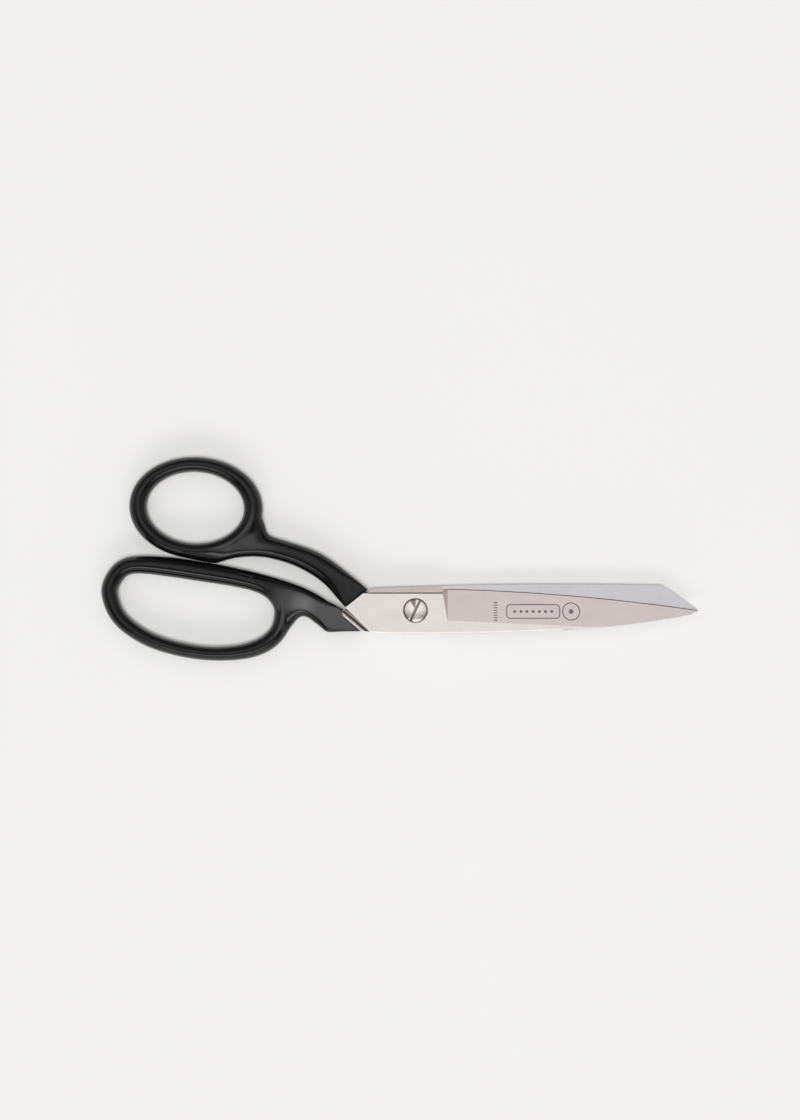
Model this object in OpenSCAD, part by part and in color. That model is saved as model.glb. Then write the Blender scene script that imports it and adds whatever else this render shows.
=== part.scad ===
// Bent-handle dressmaker's shears, lying closed on one side.
// The origin is on the pivot axis, at the plane the shears rest on. +X runs to the tips,
// +Y to the thumb bow and +Z out of the slotted side of the pivot screw.
// Each half is one steel forging. It is drawn as two solids that meet at the enamel line:
// the bare plated blade with its tang, and the enamelled shank with its bow.

/* [Blades] */
// Thickness of one tang, from the parting plane to its outer face
plate_t = 4.2; // [3.8:0.1:4.4]
// Slope of the main ground bevel, as rise over run
bevel_slope = 0.3215; // [0.3:0.0005:0.33]
// Thickness left behind the cutting edge at mid length
edge_t = 0.35; // [0.3:0.05:0.6]
// Depth of the hollow ground into each inner face at its heel
hollow_depth = 0.22; // [0.1:0.02:0.26]
// Thinning of the blade's back towards the tip, as fall over run
back_taper = 0.0128; // [0.005:0.0005:0.02]

/* [Handles] */
// Half of the depth of the bows, which is the height of the parting plane over the table
bow_half_depth = 4.6; // [4.5:0.1:5.2]
// Thickness of the bow ring beside the thumb hole, at its narrowest
thumb_ring_w = 5.06; // [4.6:0.02:5.4]
// Gap left between the two bows when the shears are shut
stop_gap = 0.16; // [0.1:0.02:0.3]

/* [Pivot] */
// Radius of the screw's head
head_r = 3.75; // [3.4:0.05:3.9]
// Radius of the counterbore that the head sits in
counterbore_r = 4.2; // [4.1:0.05:4.4]
// Radius of the shoulder that the thumb half turns on
shoulder_r = 3.0; // [2.6:0.05:3.2]
// Radius over the thread of the screw's tail
tail_r = 2.4; // [2:0.05:2.5]
// Width of the driver slot
slot_w = 0.85; // [0.7:0.05:1.2]
// Lock nut, across flats
nut_af = 7.0; // [6.5:0.1:7.2]

/* [Hidden] */
$fn = 96;

plated = [0.82, 0.78, 0.77];
enamel = [0.05, 0.05, 0.055];
polished = [0.85, 0.8, 0.74];
blued = [0.2, 0.17, 0.14];

parting = bow_half_depth;      // height of the plane between the two halves
part_gap = 0.03;               // each inner face stands this far off the parting plane
fit_gap = 0.03;                // radial clearance of a turning fit
far = 60;                      // longer than any cut needs to reach

// Landmarks in plan, from the pivot
tip = [96.1, 0];
heel_x = 9.3;                  // where the ground blades start, in front of the screw
thumb_heel = [heel_x, 7.3];
thumb_tang_y = 6.07;           // the tang's relieved upper edge
thumb_corner = [-23.8, 0.95];  // left corner of the thumb half's tang
finger_heel = [heel_x, -7.1];
finger_tang_y = -6.3;          // the tang's relieved lower edge, hidden under the thumb half
finger_corner = [-24.1, -0.1]; // left corner of the finger half's tang
finger_clip = [83.9, 8.45];    // where the finger blade's back is clipped down to the tip
thumb_coat_end = [-16.1, 7.1];           // the thumb half's enamel line runs to here from its corner
finger_coat = [[-25.5, -1.07], [-18.4, -7.1]];  // enamel line of the finger half
finger_nub = [-24.5, 0.35];                     // where the enamel line turns back over the tang

// ---- curves ----

function sgn(v) = v < 0 ? -1 : 1;
function wrap(list, i) = list[(i + len(list)) % len(list)];
function held(list, i) = list[min(max(i, 0), len(list) - 1)];
// Catmull-Rom curve from b to c
function blend4(a, b, c, d, t) =
    0.5 * (2 * b + (c - a) * t + (2 * a - 5 * b + 4 * c - d) * t * t
           + (3 * b - a - 3 * c + d) * t * t * t);
function closed_curve(p, n) =
    [for (i = [0:len(p) - 1], j = [0:n - 1])
        blend4(wrap(p, i - 1), p[i], wrap(p, i + 1), wrap(p, i + 2), j / n)];
function open_curve(p, n) =
    concat([for (i = [0:len(p) - 2], j = [0:n - 1])
        blend4(held(p, i - 1), p[i], p[i + 1], held(p, i + 2), j / n)], [p[len(p) - 1]]);
function left_of(v) = [-v[1], v[0]] / norm(v);
// Points of an arc of radius r from a up to but not including b, bulging to the right of a to b
function arc_points(a, b, r, n) =
    let (centre = (a + b) / 2 + left_of(b - a) * sqrt(r * r - norm(b - a) * norm(b - a) / 4),
         start = atan2(a[1] - centre[1], a[0] - centre[0]),
         sweep = 2 * asin(norm(b - a) / 2 / r))
    [for (i = [0:n - 1]) centre + r * [cos(start + sweep * i / n), sin(start + sweep * i / n)]];

// ---- handles: a ring that opens on its outer side into a shank ----

ring_sides = 20;       // points round the ring's section; 0 is on its inner side, 5 on top
open_from = 6;         // the section's points between which the ring opens into the shank
open_to = 14;
open_sides = open_to - open_from;

// Point on a rounded rectangle: squareness 2 is an ellipse, 12 nearly a rectangle
function rounded(angle, squareness) =
    [sgn(cos(angle)) * pow(abs(cos(angle)), 2 / squareness),
     sgn(sin(angle)) * pow(abs(sin(angle)), 2 / squareness)];

// One section of the ring at station i, a list of [x, y, half width], going anticlockwise
function ring_section(ring, i) =
    let (s = ring[i], ahead = wrap(ring, i + 1) - wrap(ring, i - 1),
         inward = left_of([ahead[0], ahead[1]]))
    [for (k = [0:ring_sides - 1]) let (q = rounded(360 * k / ring_sides, 2.05))
        [s[0] + inward[0] * s[2] * q[0], s[1] + inward[1] * s[2] * q[0],
         parting + bow_half_depth * q[1]]];

// Angles of a shank section's points, in step with the edge of the opening in the ring:
// over the top from the lower side to the upper, down, back underneath, and up
function loop_angles(m) = concat(
    [for (j = [0:m - 1]) 135 - 90 * j / m], [for (j = [0:open_sides - 1]) 45 - 90 * j / open_sides],
    [for (j = [0:m - 1]) -45 - 90 * j / m], [for (j = [0:open_sides - 1]) -135 - 90 * j / open_sides]);

// A rung is one section of the shank: [upper x, upper y, lower x, lower y, half depth, squareness].
// kink moves the rung's middle sideways, so that its line in plan has a corner there.
function rung_section(rung, m, kink) =
    [for (a = loop_angles(m)) let (q = rounded(a, rung[5]), u = (1 + q[0]) / 2,
            bend = min(u / kink[2], (1 - u) / (1 - kink[2])))
        [rung[2] + (rung[0] - rung[2]) * u + kink[0] * bend,
         rung[3] + (rung[1] - rung[3]) * u + kink[1] * bend, parting + min(rung[4], bow_half_depth) * q[1]]];

// The ring opens from station first to station last; the shank leaves there and ends at the last
// rung. The whole handle is one closed surface.
module handle(ring, first, last, rungs, end_kink) {
    n = len(ring);
    m = last - first;
    loop = 2 * (m + open_sides);
    edge = concat(
        [for (i = [first:last - 1]) i * ring_sides + open_from],
        [for (k = [open_from:open_to - 1]) last * ring_sides + k],
        [for (i = [last:-1:first + 1]) i * ring_sides + open_to],
        [for (k = [open_to:-1:open_from + 1]) first * ring_sides + k]);
    ring_points = [for (i = [0:n - 1]) each ring_section(ring, i)];
    straight = [0, 0, 0.5];
    first_loop = rung_section(rungs[0], m, straight);
    second_loop = rung_section(rungs[1], m, straight);
    root_points = [for (t = [0.25, 0.5, 0.75], j = [0:loop - 1])
        let (p = ring_points[edge[j]]) blend4(p, p, first_loop[j], second_loop[j], t)];
    fine = open_curve(rungs, 2);
    shank_points = [for (i = [0:len(fine) - 1])
        each rung_section(fine[i], m, i == len(fine) - 1 ? end_kink : straight)];
    count = 3 + len(fine);
    base = n * ring_sides;
    function at(s, j) = s < 0 ? edge[j % loop] : base + s * loop + j % loop;
    ring_walls = [for (i = [0:n - 1], k = [0:ring_sides - 1])
        if (i < first || i >= last || k < open_from || k >= open_to)
            let (j = (i + 1) % n, l = (k + 1) % ring_sides)
            [i * ring_sides + k, j * ring_sides + k, j * ring_sides + l, i * ring_sides + l]];
    shank_walls = [for (s = [-1:count - 2], j = [0:loop - 1])
        [at(s, j), at(s, j + 1), at(s + 1, j + 1), at(s + 1, j)]];
    // the end is closed with upright strips between each top point and the one under it
    function under(j) = (2 * loop + 2 * m + open_sides - j) % loop;
    end_strips = [for (c = [0:m + open_sides - 1])
        let (j = (loop + c - open_sides / 2) % loop, l = (j + 1) % loop)
        [for (v = c == 0 ? [j, l, under(l)] : c == m + open_sides - 1 ? [j, l, under(j)]
                : [j, l, under(l), under(j)]) at(count - 1, v)]];
    polyhedron(concat(ring_points, root_points, shank_points),
               concat(ring_walls, shank_walls, end_strips), convexity = 8);
}

// Thumb bow: an ellipse, a little wider at its ends
thumb_bow = [-74.7, 34.9];
thumb_axes = [19.65, 14.7];
thumb_tilt = -3;
thumb_ring = [for (i = [0:59])
    let (a = 30 + 6 * i, x = thumb_axes[0] * cos(a), y = thumb_axes[1] * sin(a))
    [thumb_bow[0] + x * cos(thumb_tilt) - y * sin(thumb_tilt),
     thumb_bow[1] + x * sin(thumb_tilt) + y * cos(thumb_tilt),
     thumb_ring_w / 2 + 0.27 * (1 + cos(2 * a)) + 0.12 * (1 + cos(a))]];
thumb_rungs = [
    [-51.1, 28.8, -67.8, 15.7 + stop_gap, 4.3, 2.3],
    [-50.35, 26.4, -63.0, 17.35, 4.3, 2.3],
    [-48.6, 25.1, -57.5, 18.1, 4.35, 2.3],
    [-45.8, 24.2, -52.0, 18.0, 4.4, 2.3],
    [-41.8, 23.0, -46.8, 16.9, 4.5, 2.3],
    [-37.3, 21.6, -42.0, 15.4, 4.6, 2.3],
    [-32.5, 19.6, -37.4, 13.2, 4.6, 2.3],
    [-28.2, 16.9, -33.3, 10.7, 4.6, 2.4],
    [-24.0, 13.75, -29.9, 7.8, 4.6, 2.8],
    [-19.9, 10.45, -26.9, 4.4, 4.55, 5],
    [thumb_coat_end[0], thumb_coat_end[1], thumb_corner[0], thumb_corner[1], 4.45, 12]];

module thumb_handle() {
    color(enamel) handle(thumb_ring, 38, 54, thumb_rungs, [0, 0, 0.5]);
}

// Finger bow: a long loop, nearly straight on top where the thumb bow lands
finger_bow = [
    [-94.0, 15.55, 3.15], [-99.5, 14.2, 3.05], [-103.0, 10.0, 3.0], [-103.9, 5.0, 2.9],
    [-100.4, -2.9, 2.75], [-91.2, -9.6, 2.6], [-79.3, -13.45, 2.5], [-66.6, -14.8, 2.5],
    [-54.6, -13.1, 2.8], [-47.3, -8.2, 2.95], [-45.0, -1.0, 3.0], [-47.0, 4.6, 3.0],
    [-52.2, 8.6, 3.1], [-61.0, 11.15, 3.3], [-72.0, 12.95, 3.4], [-83.0, 14.62, 3.4]];
finger_rungs = [
    [-55.7, 13.35, -42.4, -5.9, 4.5, 2.5],
    [-49.0, 11.6, -41.0, -4.1, 4.55, 2.7],
    [-44.0, 10.1, -39.6, -2.7, 4.6, 3],
    [-40.2, 8.75, -38.0, -2.1, 4.6, 3.2],
    [-37.0, 7.45, -36.1, -2.85, 4.6, 3.4],
    [-34.0, 5.9, -34.0, -4.4, 4.6, 3.6],
    [-31.5, 4.4, -31.7, -6.2, 4.6, 4],
    [-29.4, 3.0, -29.9, -7.5, 4.6, 6],
    [-27.4, 1.95, -25.5, -7.25, 4.55, 9],
    [finger_nub[0], finger_nub[1], finger_coat[1][0], finger_coat[1][1], 4.45, 14]];
// corner of the enamel line, from the straight line between its ends
finger_kink_share = 0.82;
finger_kink = finger_coat[0] - finger_coat[1] - (finger_nub - finger_coat[1]) * finger_kink_share;

module finger_handle() {
    color(enamel) handle(closed_curve(finger_bow, 4), 37, 52, finger_rungs,
                         [finger_kink[0], finger_kink[1], finger_kink_share]);
}

// ---- blades, drawn about the parting plane ----

thumb_outline = concat(
    [thumb_corner, [-15.5, -7.1]],
    arc_points([-14.4, -7.63], [38, -7.1], 850, 10),
    arc_points([38, -7.1], [93.6, -1.4], 330, 14),
    [[93.6, -1.4]],
    arc_points(tip, thumb_heel, 700, 20),
    [thumb_heel, [heel_x, thumb_tang_y], [-17.4, thumb_tang_y]]);

finger_outline = concat(
    [finger_corner, finger_coat[0], finger_coat[1], [-14.2, -7.3], [-13.4, finger_tang_y]],
    [[heel_x, finger_tang_y]],
    arc_points(finger_heel, tip, 700, 20),
    arc_points(tip, finger_clip, 150, 3),
    arc_points(finger_clip, [-14.8, 7.42], 1528, 16),
    [[-14.8, 7.42]]);

// A half-space: everything ahead of the slanting wall where the grinding starts at the heel
plunge_lean = 30;
plunge_turn = 10.4;
module ahead_of_plunge() {
    translate([10.05, 1.2, plate_t]) rotate([0, 0, plunge_turn]) rotate([0, -plunge_lean, 0])
        translate([0, -far, -far]) cube([2 * far, 2 * far, 2 * far]);
}

// A half-space: everything over the main bevel of a blade whose edge runs from heel to tip
// on the +Y side. It stands edge_t over the inner face at the middle of the edge's bow.
edge_bow = 1.35;
module above_bevel(heel) {
    run = tip - heel;
    translate([heel[0], heel[1] + edge_bow, edge_t]) rotate(atan2(run[1], run[0]))
        rotate([-atan(bevel_slope), 0, 0]) translate([-far, -far, 0]) cube([3 * far, 2 * far, far]);
}

// What is ground off the outside of a blade: the main bevel and the thinning of its back
module outer_grind(heel) {
    intersection() {
        above_bevel(heel);
        ahead_of_plunge();
    }
    translate([heel_x + 1.5, -far / 2, plate_t]) rotate([0, atan(back_taper), 0])
        cube([2 * far, far, far]);
}

// The long shallow hollow ground into a blade's inner face, from the heel to nothing near the tip
hollow_r = 90;
hollow_x = [heel_x + 3, 88];
module inner_hollow() {
    fall = atan(hollow_depth / (hollow_x[1] - hollow_x[0]));
    translate([hollow_x[0], 0, part_gap + hollow_depth - hollow_r]) rotate([0, 90 + fall, 0])
        cylinder(r = hollow_r, h = 2 * far, $fn = 360);
}

module thumb_blade() {
    color(plated) translate([0, 0, parting]) difference() {
        translate([0, 0, part_gap]) linear_extrude(plate_t - part_gap) polygon(thumb_outline);
        outer_grind(thumb_heel);
        inner_hollow();
        translate([0, 0, -1]) cylinder(r = shoulder_r + fit_gap, h = 10);
        translate([0, 0, plate_t - counterbore_depth]) cylinder(r = counterbore_r, h = 10);
    }
}

module finger_blade() {
    color(plated) translate([0, 0, parting]) difference() {
        union() {
            translate([0, 0, -plate_t]) linear_extrude(plate_t - part_gap) polygon(finger_outline);
            // bare land on the shoulder that faces the thumb half's tang
            translate([0, 0, -plate_t]) linear_extrude(plate_t + 4.3)
                polygon([finger_coat[0], finger_coat[1], finger_coat[1] + [0.72, 0],
                         finger_coat[0] + [0.72, 0]]);
        }
        mirror([0, 1, 0]) mirror([0, 0, 1]) outer_grind([finger_heel[0], -finger_heel[1]]);
        mirror([0, 0, 1]) inner_hollow();
        translate([0, 0, -10]) cylinder(r = tail_r + fit_gap, h = 20);
        translate([0, 0, -plate_t - 10]) cylinder(r = nut_seat_r, h = 10 + plate_t - nut_seat_top);
    }
}

// ---- pivot ----

counterbore_depth = 1.1;
washer_t = 0.3;
head_crown = 0.35;      // how far the head's middle stands over the tang
crown_r = 14;
nut_t = 1.8;
nut_seat_r = 4.5;
nut_seat_top = parting - nut_t;   // how far the nut's seat lies under the parting plane
slot_angle = 64;
slot_depth = 0.85;

module pivot_screw() {
    head_low = parting + plate_t - counterbore_depth + washer_t + 0.02;
    head_top = parting + plate_t + head_crown;
    color(polished) difference() {
        union() {
            intersection() {
                translate([0, 0, head_low]) cylinder(r = head_r, h = 4);
                translate([0, 0, head_top - crown_r]) sphere(crown_r, $fn = 240);
            }
            translate([0, 0, parting]) cylinder(r = shoulder_r, h = head_low - parting + 0.5);
            cylinder(r = tail_r, h = parting + 0.5);
        }
        translate([0, 0, head_top - slot_depth]) rotate(slot_angle)
            translate([-10, -slot_w / 2, 0]) cube([20, slot_w, 5]);
    }
}

module friction_washer() {
    color(blued) translate([0, 0, parting + plate_t - counterbore_depth]) difference() {
        cylinder(r = counterbore_r - 0.08, h = washer_t);
        translate([0, 0, -1]) cylinder(r = shoulder_r + 0.08, h = washer_t + 2);
    }
}

module lock_nut() {
    nut_ac_r = nut_af / 2 / cos(30);
    color(plated) difference() {
        intersection() {
            cylinder(r = nut_ac_r, h = nut_t, $fn = 6);
            // turned chamfer on the outer face
            cylinder(r1 = nut_af / 2 + 0.1, r2 = nut_af / 2 + 0.1 + nut_t * 1.6, h = nut_t);
        }
        translate([0, 0, -1]) cylinder(r = tail_r + fit_gap, h = nut_t + 2);
    }
}

thumb_blade();
thumb_handle();
finger_blade();
finger_handle();
pivot_screw();
friction_washer();
lock_nut();
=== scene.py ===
"""Bent-handle dressmaker's shears, lying closed on a pale table."""

import math

import bmesh
import bpy
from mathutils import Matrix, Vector
from mathutils.bvhtree import BVHTree


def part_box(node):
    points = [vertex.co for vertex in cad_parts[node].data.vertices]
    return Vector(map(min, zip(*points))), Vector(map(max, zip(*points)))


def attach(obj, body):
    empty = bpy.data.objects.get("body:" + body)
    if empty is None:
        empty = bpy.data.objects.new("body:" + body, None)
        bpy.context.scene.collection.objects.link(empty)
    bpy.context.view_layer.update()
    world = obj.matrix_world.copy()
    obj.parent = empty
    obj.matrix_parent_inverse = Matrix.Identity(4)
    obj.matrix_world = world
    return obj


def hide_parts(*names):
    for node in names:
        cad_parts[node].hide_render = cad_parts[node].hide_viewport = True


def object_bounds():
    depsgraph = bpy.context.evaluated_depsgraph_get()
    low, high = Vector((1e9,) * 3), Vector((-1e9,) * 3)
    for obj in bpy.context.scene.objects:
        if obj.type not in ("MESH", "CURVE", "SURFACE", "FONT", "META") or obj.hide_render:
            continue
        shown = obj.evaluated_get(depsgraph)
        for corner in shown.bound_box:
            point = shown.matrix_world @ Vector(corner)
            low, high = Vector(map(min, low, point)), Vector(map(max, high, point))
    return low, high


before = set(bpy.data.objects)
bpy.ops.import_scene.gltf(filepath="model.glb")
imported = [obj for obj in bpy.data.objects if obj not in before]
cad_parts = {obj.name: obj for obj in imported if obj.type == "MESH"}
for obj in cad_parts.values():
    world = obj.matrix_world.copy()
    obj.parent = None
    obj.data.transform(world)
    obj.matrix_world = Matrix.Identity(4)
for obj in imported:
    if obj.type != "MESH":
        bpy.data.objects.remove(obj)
cad_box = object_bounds()

# ---- Camera ----
# It looks straight down, from far enough off that the blades show no perspective.
# The shears fill three quarters of the view's width.
MM = 0.001
low, high = (Vector(corner) for corner in cad_box)
middle = (low + high) / 2
lens = 100
view_height = 1.868 * (high.x - low.x)
aim = Vector((middle.x + 0.2 * MM, middle.y - 0.4 * MM, high.z))
camera_data = bpy.data.cameras.new("overhead")
camera_data.lens = lens
camera_data.clip_end = 20
camera = bpy.data.objects.new("overhead", camera_data)
camera.location = aim + Vector((0, 0, view_height * lens / camera_data.sensor_width))
bpy.context.scene.collection.objects.link(camera)
bpy.context.scene.camera = camera
bpy.context.scene.view_settings.view_transform = "Standard"


# ---- Table ----
# A plain pale board, wide enough to reach the horizon. Its paint is sprayed and rubbed
# down, and keeps a faint unevenness.
class Signal:
    """A value on its way through a finish. Arithmetic on it adds Math nodes."""

    def __init__(self, nodes, socket):
        self.nodes = nodes
        self.socket = socket

    def math(self, operation, *values, clamp=False):
        return self.nodes.node("ShaderNodeMath", {"operation": operation, "use_clamp": clamp},
                               dict(enumerate(values)))

    def __add__(self, other):
        return self.math("ADD", self, other)

    def __sub__(self, other):
        return self.math("SUBTRACT", self, other)

    def __rsub__(self, other):
        return self.math("SUBTRACT", other, self)

    def __mul__(self, other):
        return self.math("MULTIPLY", self, other)

    def __truediv__(self, other):
        return self.math("DIVIDE", self, other)

    def __abs__(self):
        return self.math("ABSOLUTE", self)

    __radd__ = __add__
    __rmul__ = __mul__

    def sine(self):
        return self.math("SINE", self)

    def root(self):
        return self.math("SQRT", self)

    def above(self, edge, softness):
        """1 where the value is over edge and 0 under it, with a soft step between."""
        return self.math("ADD", (self - edge) / softness, 0.5, clamp=True)

    def below(self, edge, softness):
        return self.math("ADD", (edge - self) / softness, 0.5, clamp=True)


class Nodes:
    """A node tree that is written as expressions."""

    def __init__(self, tree):
        self.tree = tree
        tree.nodes.clear()

    def feed(self, socket, value):
        if isinstance(value, Signal):
            self.tree.links.new(value.socket, socket)
        elif isinstance(value, list):
            for item in value:
                self.feed(socket, item)
        else:
            socket.default_value = value

    def node(self, kind, settings=None, values=None, output=0):
        """Adds a node: its settings first, then the values or links of its sockets."""
        node = self.tree.nodes.new(kind)
        for name, setting in (settings or {}).items():
            setattr(node, name, setting)
        for name, value in (values or {}).items():
            self.feed(node.inputs[name], value)
        return Signal(self, node.outputs[output]) if node.outputs else None

    def axis(self, vector, index):
        return self.node("ShaderNodeSeparateXYZ", None, {0: vector}, index)

    def blend(self, share, first, second):
        return self.node("ShaderNodeMix", {"data_type": "RGBA"},
                         {0: share, 6: first, 7: second}, output=2)


class Finish(Nodes):
    """A material with one Principled shader, whose patterns lie in Object coordinates."""

    def __init__(self, name, **constants):
        self.material = bpy.data.materials.new(name)
        self.material.use_nodes = True
        super().__init__(self.material.node_tree)
        surface = self.node("ShaderNodeBsdfPrincipled")
        self.shader = surface.socket.node
        self.node("ShaderNodeOutputMaterial", None, {"Surface": surface})
        self.paint(**constants)

    def paint(self, **sockets):
        for name, value in sockets.items():
            self.feed(self.shader.inputs[name.replace("_", " ")], value)

    def place(self):
        return self.node("ShaderNodeTexCoord", output="Object")

    def facing(self):
        return self.node("ShaderNodeTexCoord", output="Normal")

    def noise(self, scale, detail=3.0, stretch=(1, 1, 1)):
        """Cloudy noise; scale counts its lumps in a metre, stretch multiplies it per axis."""
        where = self.node("ShaderNodeMapping", None, {"Vector": self.place(), "Scale": stretch})
        return self.node("ShaderNodeTexNoise", None, {"Vector": where, "Scale": scale,
                                                      "Detail": detail})

    def relief(self, height, distance):
        return self.node("ShaderNodeBump", None, {"Strength": 1.0, "Distance": distance,
                                                  "Height": height})


board = Finish("table_paint", Roughness=0.6, Specular_IOR_Level=0.3)
board_tone = board.noise(3.0, 2.0)
board.paint(Base_Color=board.blend(board_tone, (0.510, 0.510, 0.503, 1),
                                   (0.530, 0.530, 0.524, 1)))
table_half = 3.0
table_top = low.z - 0.02 * MM
table_mesh = bpy.data.meshes.new("table")
table_mesh.from_pydata([(x * table_half, y * table_half, table_top)
                        for x, y in ((-1, -1), (1, -1), (1, 1), (-1, 1))], [], [(0, 1, 2, 3)])
table = bpy.data.objects.new("table", table_mesh)
table_mesh.materials.append(board.material)
bpy.context.scene.collection.objects.link(table)


# ---- Light ----
# A soft room: bright overhead, brighter low down on the finger side, dark low down on the
# thumb side, a little warm at the tips and cool at the bows, with a pale cove at the
# horizon. The box overhead lights the table and is not mirrored in the steel.
room = bpy.data.worlds.new("room")
room.use_nodes = True
bpy.context.scene.world = room
sky = Nodes(room.node_tree)
way = sky.node("ShaderNodeTexCoord", output="Generated")
to_tips, to_thumb, upward = (sky.axis(way, index) for index in range(3))
dome = upward.above(0.62, 0.3) * to_thumb.above(-0.10, 0.5)
zenith = upward.above(0.925, 0.08)
cove = upward.below(0.19, 0.06)
window = to_thumb.below(-0.62, 0.1) * upward.above(0.53, 0.08)
finger_side = to_thumb.below(-0.80, 0.2)
tip_side = to_tips.above(0.75, 0.3)
bow_side = to_tips.below(-0.80, 0.2)
glow = (0.06 + 0.72 * dome + 0.44 * zenith + 0.85 * finger_side + 3.6 * window
        + 0.4 * tip_side + 0.4 * bow_side + 0.70 * cove)
tint = sky.blend(tip_side, sky.blend(bow_side, (1.0, 0.985, 0.975, 1), (0.93, 0.96, 1.0, 1)),
                 (1.0, 0.91, 0.83, 1))
backdrop = sky.node("ShaderNodeBackground", None, {"Color": tint, "Strength": glow})
sky.node("ShaderNodeOutputWorld", None, {"Surface": backdrop})

lamp = bpy.data.lights.new("table_box", "AREA")
lamp.shape = "SQUARE"
lamp.size = 0.5
lamp.energy = 50
lamp_box = bpy.data.objects.new("table_box", lamp)
lamp_box.location = (0, -0.1, 2.2)
lamp_box.rotation_euler = (middle - lamp_box.location).to_track_quat("-Z", "Y").to_euler()
lamp_box.visible_glossy = False
lamp_box.visible_camera = False
bpy.context.scene.collection.objects.link(lamp_box)


# ---- Blades ----
# Two ground blades of forged steel, nickel plated. The back of each has a polished
# chamfer, and the main bevel is ground across the blade down to the cutting edge.
def bare_copy(node, name):
    """A merged copy of a CAD node, as an object and its bmesh."""
    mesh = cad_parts[node].data.copy()
    mesh.name = name
    piece = bpy.data.objects.new(name, mesh)
    bpy.context.scene.collection.objects.link(piece)
    shape = bmesh.new()
    shape.from_mesh(mesh)
    bmesh.ops.remove_doubles(shape, verts=shape.verts, dist=0.002 * MM)
    bmesh.ops.dissolve_degenerate(shape, edges=shape.edges, dist=0.001 * MM)
    return piece, shape


def flat_copy(node, name):
    """A bare copy with the triangles of each flat face joined."""
    piece, shape = bare_copy(node, name)
    bmesh.ops.dissolve_limit(shape, angle_limit=math.radians(0.6), verts=shape.verts,
                             edges=shape.edges)
    return piece, shape


def applied(piece):
    """The piece's mesh with its modifiers applied. The modifiers are then removed."""
    bpy.context.view_layer.update()
    evaluated = piece.evaluated_get(bpy.context.evaluated_depsgraph_get())
    mesh = bpy.data.meshes.new_from_object(evaluated)
    piece.modifiers.clear()
    return mesh


def opened(mesh):
    """Moves a mesh into a new bmesh."""
    shape = bmesh.new()
    shape.from_mesh(mesh)
    bpy.data.meshes.remove(mesh)
    return shape


def finish_piece(piece, shape, finish, body, node, flat_angle):
    """Writes the shape back, shades it smooth up to flat_angle and puts it in the frame."""
    shape.normal_update()
    for face in shape.faces:
        face.smooth = True
        face.material_index = 0
    broad_face = 20 * MM * MM
    for edge in shape.edges:
        broad = any(face.calc_area() > broad_face for face in edge.link_faces)
        limit = math.radians(1.5) if broad else flat_angle
        edge.smooth = len(edge.link_faces) == 2 and edge.calc_face_angle() < limit
    shape.to_mesh(piece.data)
    shape.free()
    for layer in [a for a in piece.data.attributes if a.name == "custom_normal"]:
        piece.data.attributes.remove(layer)
    piece.data.materials.clear()
    piece.data.materials.append(finish.material)
    piece.data.update()
    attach(piece, body)
    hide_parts(node)
    return piece


def rounded_off(piece, shape, width, angle):
    """Bevels the sharp edges and returns the result as a new bmesh."""
    shape.to_mesh(piece.data)
    shape.free()
    bevel = piece.modifiers.new("rounded edges", "BEVEL")
    bevel.width = width
    bevel.segments = 2
    bevel.limit_method = "ANGLE"
    bevel.angle_limit = angle
    bevel.use_clamp_overlap = True
    bevel.miter_outer = "MITER_ARC"
    return opened(applied(piece))


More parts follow.
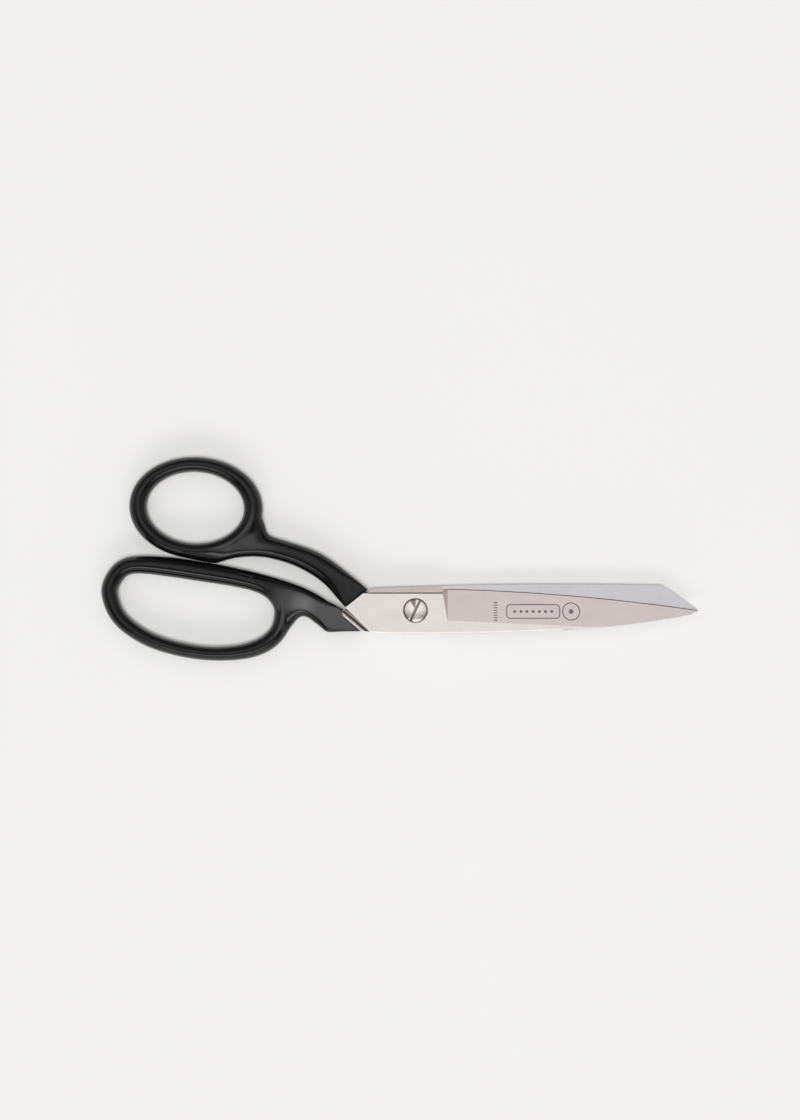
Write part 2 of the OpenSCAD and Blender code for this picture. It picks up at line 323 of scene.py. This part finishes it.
def ground_steel(name, rear=False):
    """Plated steel with grinding lines along the tang and across the bevel."""
    steel = Finish(name)
    x, y = steel.axis(steel.place(), 0), steel.axis(steel.place(), 1)
    up = steel.axis(steel.facing(), 2)
    flat = abs(up).above(0.985, 0.01)
    heel = 9.6 * MM
    ahead = x.above(heel, 0.6 * MM)
    bevel = ahead * (1 - flat)
    along = steel.noise(1.0, 4.0, (90, 2600, 900))
    across = steel.noise(1.0, 4.0, (3200, 110, 900))
    lines = along * (1 - ahead) + across * ahead
    cloud = steel.noise(55.0, 3.0)
    smudge = steel.noise(140.0, 5.0).above(0.60, 0.16)
    warm = steel.blend(cloud, (0.81, 0.75, 0.735, 1), (0.87, 0.82, 0.80, 1))
    tint = steel.blend(bevel * 0.6, warm, (0.86, 0.765, 0.765, 1))
    metal = 1.0
    if rear:
        # The hollow inner side is cooler. Painted shade darkens the gap where the tangs part,
        # leaving a lighter line across it, and enamel has run onto the corner behind it.
        tint = steel.blend(ahead * flat, tint, (0.655, 0.635, 0.68, 1))
        # past runs at right angles to the slanting ends of the tangs.
        past = 0.645 * x + 0.764 * y
        gap_start, gap_end = -16.6 * MM, -14.2 * MM
        upper = up.above(0.3, 0.2)
        # Painted shade across the gap where the tangs part, broken by a lighter line.
        painted_gap_shade = upper * past.above(gap_start, 0.2 * MM) * past.below(gap_end, 0.2 * MM)
        thin = 0.35 * past.above(-15.6 * MM, 0.15 * MM) * past.below(-15.2 * MM, 0.15 * MM)
        corner = past.below(gap_start - 0.1 * MM, 0.1 * MM) * y.above(-0.75 * MM, 0.2 * MM)
        # Painted shade: the rear tang is darker along the strip beside the front tang's edge.
        painted_tang_strip_shade = y.above(6.1 * MM, 0.2 * MM) * x.below(heel - 0.3 * MM, 0.6 * MM)
        tint = steel.blend(painted_tang_strip_shade, tint, (0.62, 0.545, 0.52, 1))
        tint = steel.blend(painted_gap_shade * (1 - thin), tint, (0.030, 0.022, 0.015, 1))
        tint = steel.blend(corner, tint, (0.006, 0.006, 0.006, 1))
        metal = (1 - painted_gap_shade * 0.7) * (1 - corner)
    scored = steel.blend(lines.above(0.60, 0.1) * 0.13, tint, (0.60, 0.56, 0.55, 1))
    # Painted shade darkens the narrow chamfers facing the thumb side, where the halves slide on
    # each other.
    painted_chamfer_shade = steel.axis(steel.facing(), 1).above(0.45, 0.15) * abs(up).above(0.35, 0.15)
    steel.paint(Base_Color=steel.blend(painted_chamfer_shade, scored, (0.10, 0.082, 0.075, 1)), Metallic=metal,
                Roughness=0.24 + 0.10 * lines + 0.04 * bevel + 0.06 * smudge,
                Normal=steel.relief(lines, 0.0022 * MM))
    return steel


def blade(node, name, body, finish, outward):
    """outward is 1 for the blade whose ground side looks up and -1 for the other."""
    piece, shape = flat_copy(node, name)
    around_pivot = 6 * MM
    # Each rim: width of its chamfer, side it faces, and where it starts and ends.
    spine = (0.45 * MM, -1, -15 * MM, 50 * MM)
    tang_edge = (0.40 * MM, 1, -14 * MM, 9 * MM)
    cutting_edge = (0.24 * MM, 1, 9.4 * MM, 97 * MM)
    rims = (spine, tang_edge, cutting_edge) if outward == 1 else (spine, cutting_edge)
    for width, side, start, end in rims:
        shape.normal_update()
        rim = []
        for edge in shape.edges:
            if len(edge.link_faces) != 2:
                continue
            wall, face = sorted(edge.link_faces, key=lambda f: f.normal.z * outward)
            place = (edge.verts[0].co + edge.verts[1].co) / 2
            if (face.normal.z * outward > 0.9 and wall.normal.y * outward * side > 0.6
                    and start < place.x < end and place.xy.length > around_pivot):
                rim.append(edge)
        bmesh.ops.bevel(shape, geom=rim, offset=width, offset_type="OFFSET", segments=1,
                        profile=0.5, affect="EDGES", clamp_overlap=False)
    shape = rounded_off(piece, shape, 0.1 * MM, math.radians(14))
    return finish_piece(piece, shape, finish, body, node, math.radians(12))


thumb_blade = blade("thumb_blade", "thumb_half_blade", "thumb_half",
                    ground_steel("front_blade_steel"), 1)
blade("finger_blade", "finger_half_blade", "finger_half",
      ground_steel("rear_blade_steel", rear=True), -1)


# ---- Etched marks ----
# Plain marks etched dark into the front bevel: a frame round a row of lozenges, a ring
# with a dot, and a column of ticks. They are laid out flat and dropped onto the bevel.
oxide = Finish("etched_oxide")
oxide_tone = oxide.noise(2500.0, 3.0)
oxide.paint(Base_Color=oxide.blend(oxide_tone, (0.085, 0.075, 0.075, 1), (0.15, 0.135, 0.135, 1)),
            Roughness=0.45 + 0.2 * oxide_tone, Metallic=0.35)

mark_sizes = {"Line width": 0.34 * MM, "Film": 0.04 * MM, "Frame length": 18 * MM,
              "Frame height": 4.6 * MM, "Frame corner": 1.3 * MM, "Lozenges": 7,
              "Lozenge pitch": 2.1 * MM, "Lozenge radius": 0.62 * MM, "Ring radius": 2.9 * MM,
              "Dot radius": 0.8 * MM, "Ticks": 8, "Tick pitch": 0.86 * MM,
              "Tick length": 1.2 * MM}
tree = bpy.data.node_groups.new("etched_marks", "GeometryNodeTree")
for size_name, size in mark_sizes.items():
    kind = "NodeSocketInt" if isinstance(size, int) else "NodeSocketFloat"
    tree.interface.new_socket(name=size_name, in_out="INPUT", socket_type=kind)
tree.interface.new_socket(name="Geometry", in_out="OUTPUT", socket_type="NodeSocketGeometry")
marks = Nodes(tree)
group_input = marks.node("NodeGroupInput").socket.node
given = {size_name: Signal(marks, group_input.outputs[size_name]) for size_name in mark_sizes}
nib = marks.node("GeometryNodeCurvePrimitiveQuadrilateral", None,
                 {"Width": given["Line width"], "Height": given["Film"]})


def drawn(curve):
    upright = marks.node("GeometryNodeSetCurveNormal", {"mode": "Z_UP"}, {"Curve": curve})
    return marks.node("GeometryNodeCurveToMesh", None, {"Curve": upright, "Profile Curve": nib})


def moved(geometry, x, y):
    return marks.node("GeometryNodeTransform", None,
                      {"Geometry": geometry, "Translation": (x * MM, y * MM, 0)})


def row(count, pitch, step, shape):
    offset = marks.node("ShaderNodeVectorMath", {"operation": "SCALE"}, {0: step, "Scale": pitch})
    points = marks.node("GeometryNodeMeshLine", None, {"Count": count, "Offset": offset})
    return marks.node("GeometryNodeInstanceOnPoints", None, {"Points": points, "Instance": shape})


def disc(sides, radius):
    return marks.node("GeometryNodeMeshCylinder", None,
                      {"Vertices": sides, "Radius": radius, "Depth": given["Film"]})


oblong = marks.node("GeometryNodeCurvePrimitiveQuadrilateral", None,
                    {"Width": given["Frame length"], "Height": given["Frame height"]})
oblong = marks.node("GeometryNodeFilletCurve", {"mode": "POLY"},
                    {"Curve": oblong, "Radius": given["Frame corner"], "Count": 5})
hoop = marks.node("GeometryNodeCurvePrimitiveCircle", None,
                  {"Resolution": 48, "Radius": given["Ring radius"]})
tick_size = marks.node("ShaderNodeCombineXYZ", None,
                       {"X": given["Tick length"], "Y": given["Line width"], "Z": given["Film"]})
tick = marks.node("GeometryNodeMeshCube", None, {"Size": tick_size})
lozenges = row(given["Lozenges"], given["Lozenge pitch"], (1, 0, 0),
               disc(4, given["Lozenge radius"]))
ticks = row(given["Ticks"], given["Tick pitch"], (0, 1, 0), tick)
blade_low, blade_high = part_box("thumb_blade")
tip_x = blade_high[0] / MM
line_y = (blade_low[1] + blade_high[1]) / 2 / MM - 0.15
tick_x, frame_x, ring_x = 0.283 * tip_x, 0.416 * tip_x, 0.550 * tip_x
lozenge_x, tick_y = frame_x - 6.3, line_y - 3.0
drawing = marks.node("GeometryNodeJoinGeometry", None, {0: [
    moved(drawn(oblong), frame_x, line_y), moved(lozenges, lozenge_x, line_y),
    moved(drawn(hoop), ring_x, line_y), moved(disc(24, given["Dot radius"]), ring_x, line_y),
    moved(ticks, tick_x, tick_y)]})
solid = marks.node("GeometryNodeRealizeInstances", None, {0: drawing})
inked = marks.node("GeometryNodeSetMaterial", None, {"Geometry": solid, "Material": oxide.material})
marks.node("NodeGroupOutput", None, {0: inked})

etching = bpy.data.objects.new("etched_marks", bpy.data.meshes.new("etched_marks"))
bpy.context.scene.collection.objects.link(etching)
pattern = etching.modifiers.new("pattern", "NODES")
pattern.node_group = tree
for item in tree.interface.items_tree:
    if item.in_out == "INPUT":
        pattern[item.identifier] = mark_sizes[item.name]
etching.data = applied(etching)
ground = BVHTree.FromPolygons([vertex.co for vertex in thumb_blade.data.vertices],
                              [face.vertices for face in thumb_blade.data.polygons])
above_blade = 20 * MM
for vertex in etching.data.vertices:
    landing = ground.ray_cast((vertex.co.x, vertex.co.y, above_blade), (0, 0, -1))[0]
    vertex.co.z += landing.z - mark_sizes["Film"] / 4
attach(etching, "thumb_half")


# ---- Handles ----
# The forged shanks and bows, ground smooth and dipped in black enamel, which is baked
# glossy. Handling has dulled its flats, which are also painted a lighter grey as a painted
# sheen, and it ends in a clean line at the bare steel.
def black_enamel(name, rubbed_and_sheen):
    """The listed spots on the upper face are dulled, and painted a lighter grey as a painted sheen:
    x, y, radius, softness, grey.
    """
    enamel = Finish(name, IOR=1.37)
    x, y = enamel.axis(enamel.place(), 0), enamel.axis(enamel.place(), 1)
    orange_peel = enamel.noise(420.0, 2.0)
    waves = enamel.noise(120.0, 2.0)
    dust = enamel.noise(1500.0, 1.0).above(0.78, 0.03)
    colour = enamel.blend(waves, (0.0020, 0.0019, 0.0022, 1), (0.0036, 0.0034, 0.0037, 1))
    upper = enamel.axis(enamel.facing(), 2).above(0.975, 0.04)
    dull = 0
    for at_x, at_y, reach, softness, grey in rubbed_and_sheen:
        across, along = (x - at_x * MM), (y - at_y * MM)
        # Each spot is rougher, and painted a lighter grey on the upward flats as a painted sheen.
        sheen_spot = (across * across + along * along).root().below(reach * MM, softness * MM) * upper
        colour = enamel.blend(sheen_spot, colour, (grey, grey, grey * 1.02, 1))
        dull = dull + 0.2 * sheen_spot
    enamel.paint(Base_Color=colour, Roughness=dull + 0.11 + 0.05 * waves,
                 Normal=enamel.relief(orange_peel * 0.6 + waves + dust * 0.4, 0.02 * MM))
    return enamel


def handle(node, name, body, finish):
    """A subdivided copy of a handle, creased round the end where the steel begins."""
    piece, shape = bare_copy(node, name)
    bmesh.ops.join_triangles(shape, faces=shape.faces, angle_face_threshold=math.radians(60),
                             angle_shape_threshold=math.radians(80), cmp_seam=False)
    crease = shape.edges.layers.float.new("crease_edge")
    for edge in shape.edges:
        if len(edge.link_faces) == 2 and edge.calc_face_angle() > math.radians(55):
            edge[crease] = 0.75
    shape.to_mesh(piece.data)
    shape.free()
    smooth = piece.modifiers.new("smooth", "SUBSURF")
    smooth.levels = 2
    smooth.render_levels = 2
    finish_piece(piece, opened(applied(piece)), finish, body, node,
                 math.radians(50))


handle("thumb_handle", "thumb_bow_and_shank", "thumb_half",
       black_enamel("thumb_enamel", [(-56, 25, 7, 7, 0.022), (-65, 20, 3.5, 4, 0.034)]))
handle("finger_handle", "finger_bow_and_shank", "finger_half",
       black_enamel("finger_enamel", [(-30, -3, 17, 9, 0.040), (-38, 1.8, 2.6, 5, 0.085)]))


# ---- Pivot ----
# A turned, slotted screw with a slightly domed head, over a blued spring washer. Its
# tail is locked by a hexagon nut, sunk into the back of the finger half.
def turned_steel():
    steel = Finish("turned_screw")
    x, y = steel.axis(steel.place(), 0), steel.axis(steel.place(), 1)
    groove_pitch = 0.11 * MM
    grooves = ((x * x + y * y).root() * (2 * math.pi / groove_pitch)).sine()
    ripple = steel.noise(900.0, 3.0)
    depth = steel.axis(steel.place(), 2)
    up = steel.axis(steel.facing(), 2)
    slot_top, slot_bottom = 8.62 * MM, 8.2 * MM
    # Painted shade: the slot's floor is painted grey and its walls near black.
    slot_floor_shade = depth.below(slot_top, 0.1 * MM) * up.above(0.5, 0.1)
    slot_wall_shade = up.below(0.5, 0.1) * depth.above(slot_bottom, 0.1 * MM)
    bright = steel.blend(ripple, (0.97, 0.91, 0.86, 1), (0.88, 0.80, 0.75, 1))
    # A darker wedge is painted into the head: a painted reflection of the turned face.
    painted_reflection_wedge = y.above(0.7 * MM, 1.0 * MM) * (abs(x + 0.25 * y) - 0.30 * y).below(0, 0.5 * MM)
    head_with_painted_reflection = steel.blend(painted_reflection_wedge * 0.85, bright, (0.16, 0.13, 0.11, 1))
    slot_floor_shaded = steel.blend(slot_floor_shade, head_with_painted_reflection, (0.22, 0.205, 0.19, 1))
    steel.paint(Base_Color=steel.blend(slot_wall_shade, slot_floor_shaded, (0.035, 0.03, 0.027, 1)),
                Roughness=0.20 + 0.12 * ripple, Metallic=1 - 0.5 * slot_wall_shade,
                Normal=steel.relief(grooves * 0.5 + ripple * 0.4, 0.004 * MM))
    return steel


def turned_piece(node, name, body, finish, width):
    piece, shape = flat_copy(node, name)
    shape = rounded_off(piece, shape, width, math.radians(35))
    finish_piece(piece, shape, finish, body, node, math.radians(30))


turned_piece("pivot_screw", "slotted_pivot_screw", "screw", turned_steel(),
             0.07 * MM)

blued = Finish("blued_spring_steel", Metallic=1.0)
blued_tone = blued.noise(700.0, 3.0)
blued.paint(Base_Color=blued.blend(blued_tone, (0.05, 0.043, 0.038, 1), (0.13, 0.11, 0.095, 1)),
            Roughness=0.32 + 0.15 * blued_tone)
turned_piece("friction_washer", "spring_washer", "thumb_half", blued, 0.04 * MM)
turned_piece("lock_nut", "tail_lock_nut", "finger_half", ground_steel("nut_steel"),
             0.08 * MM)
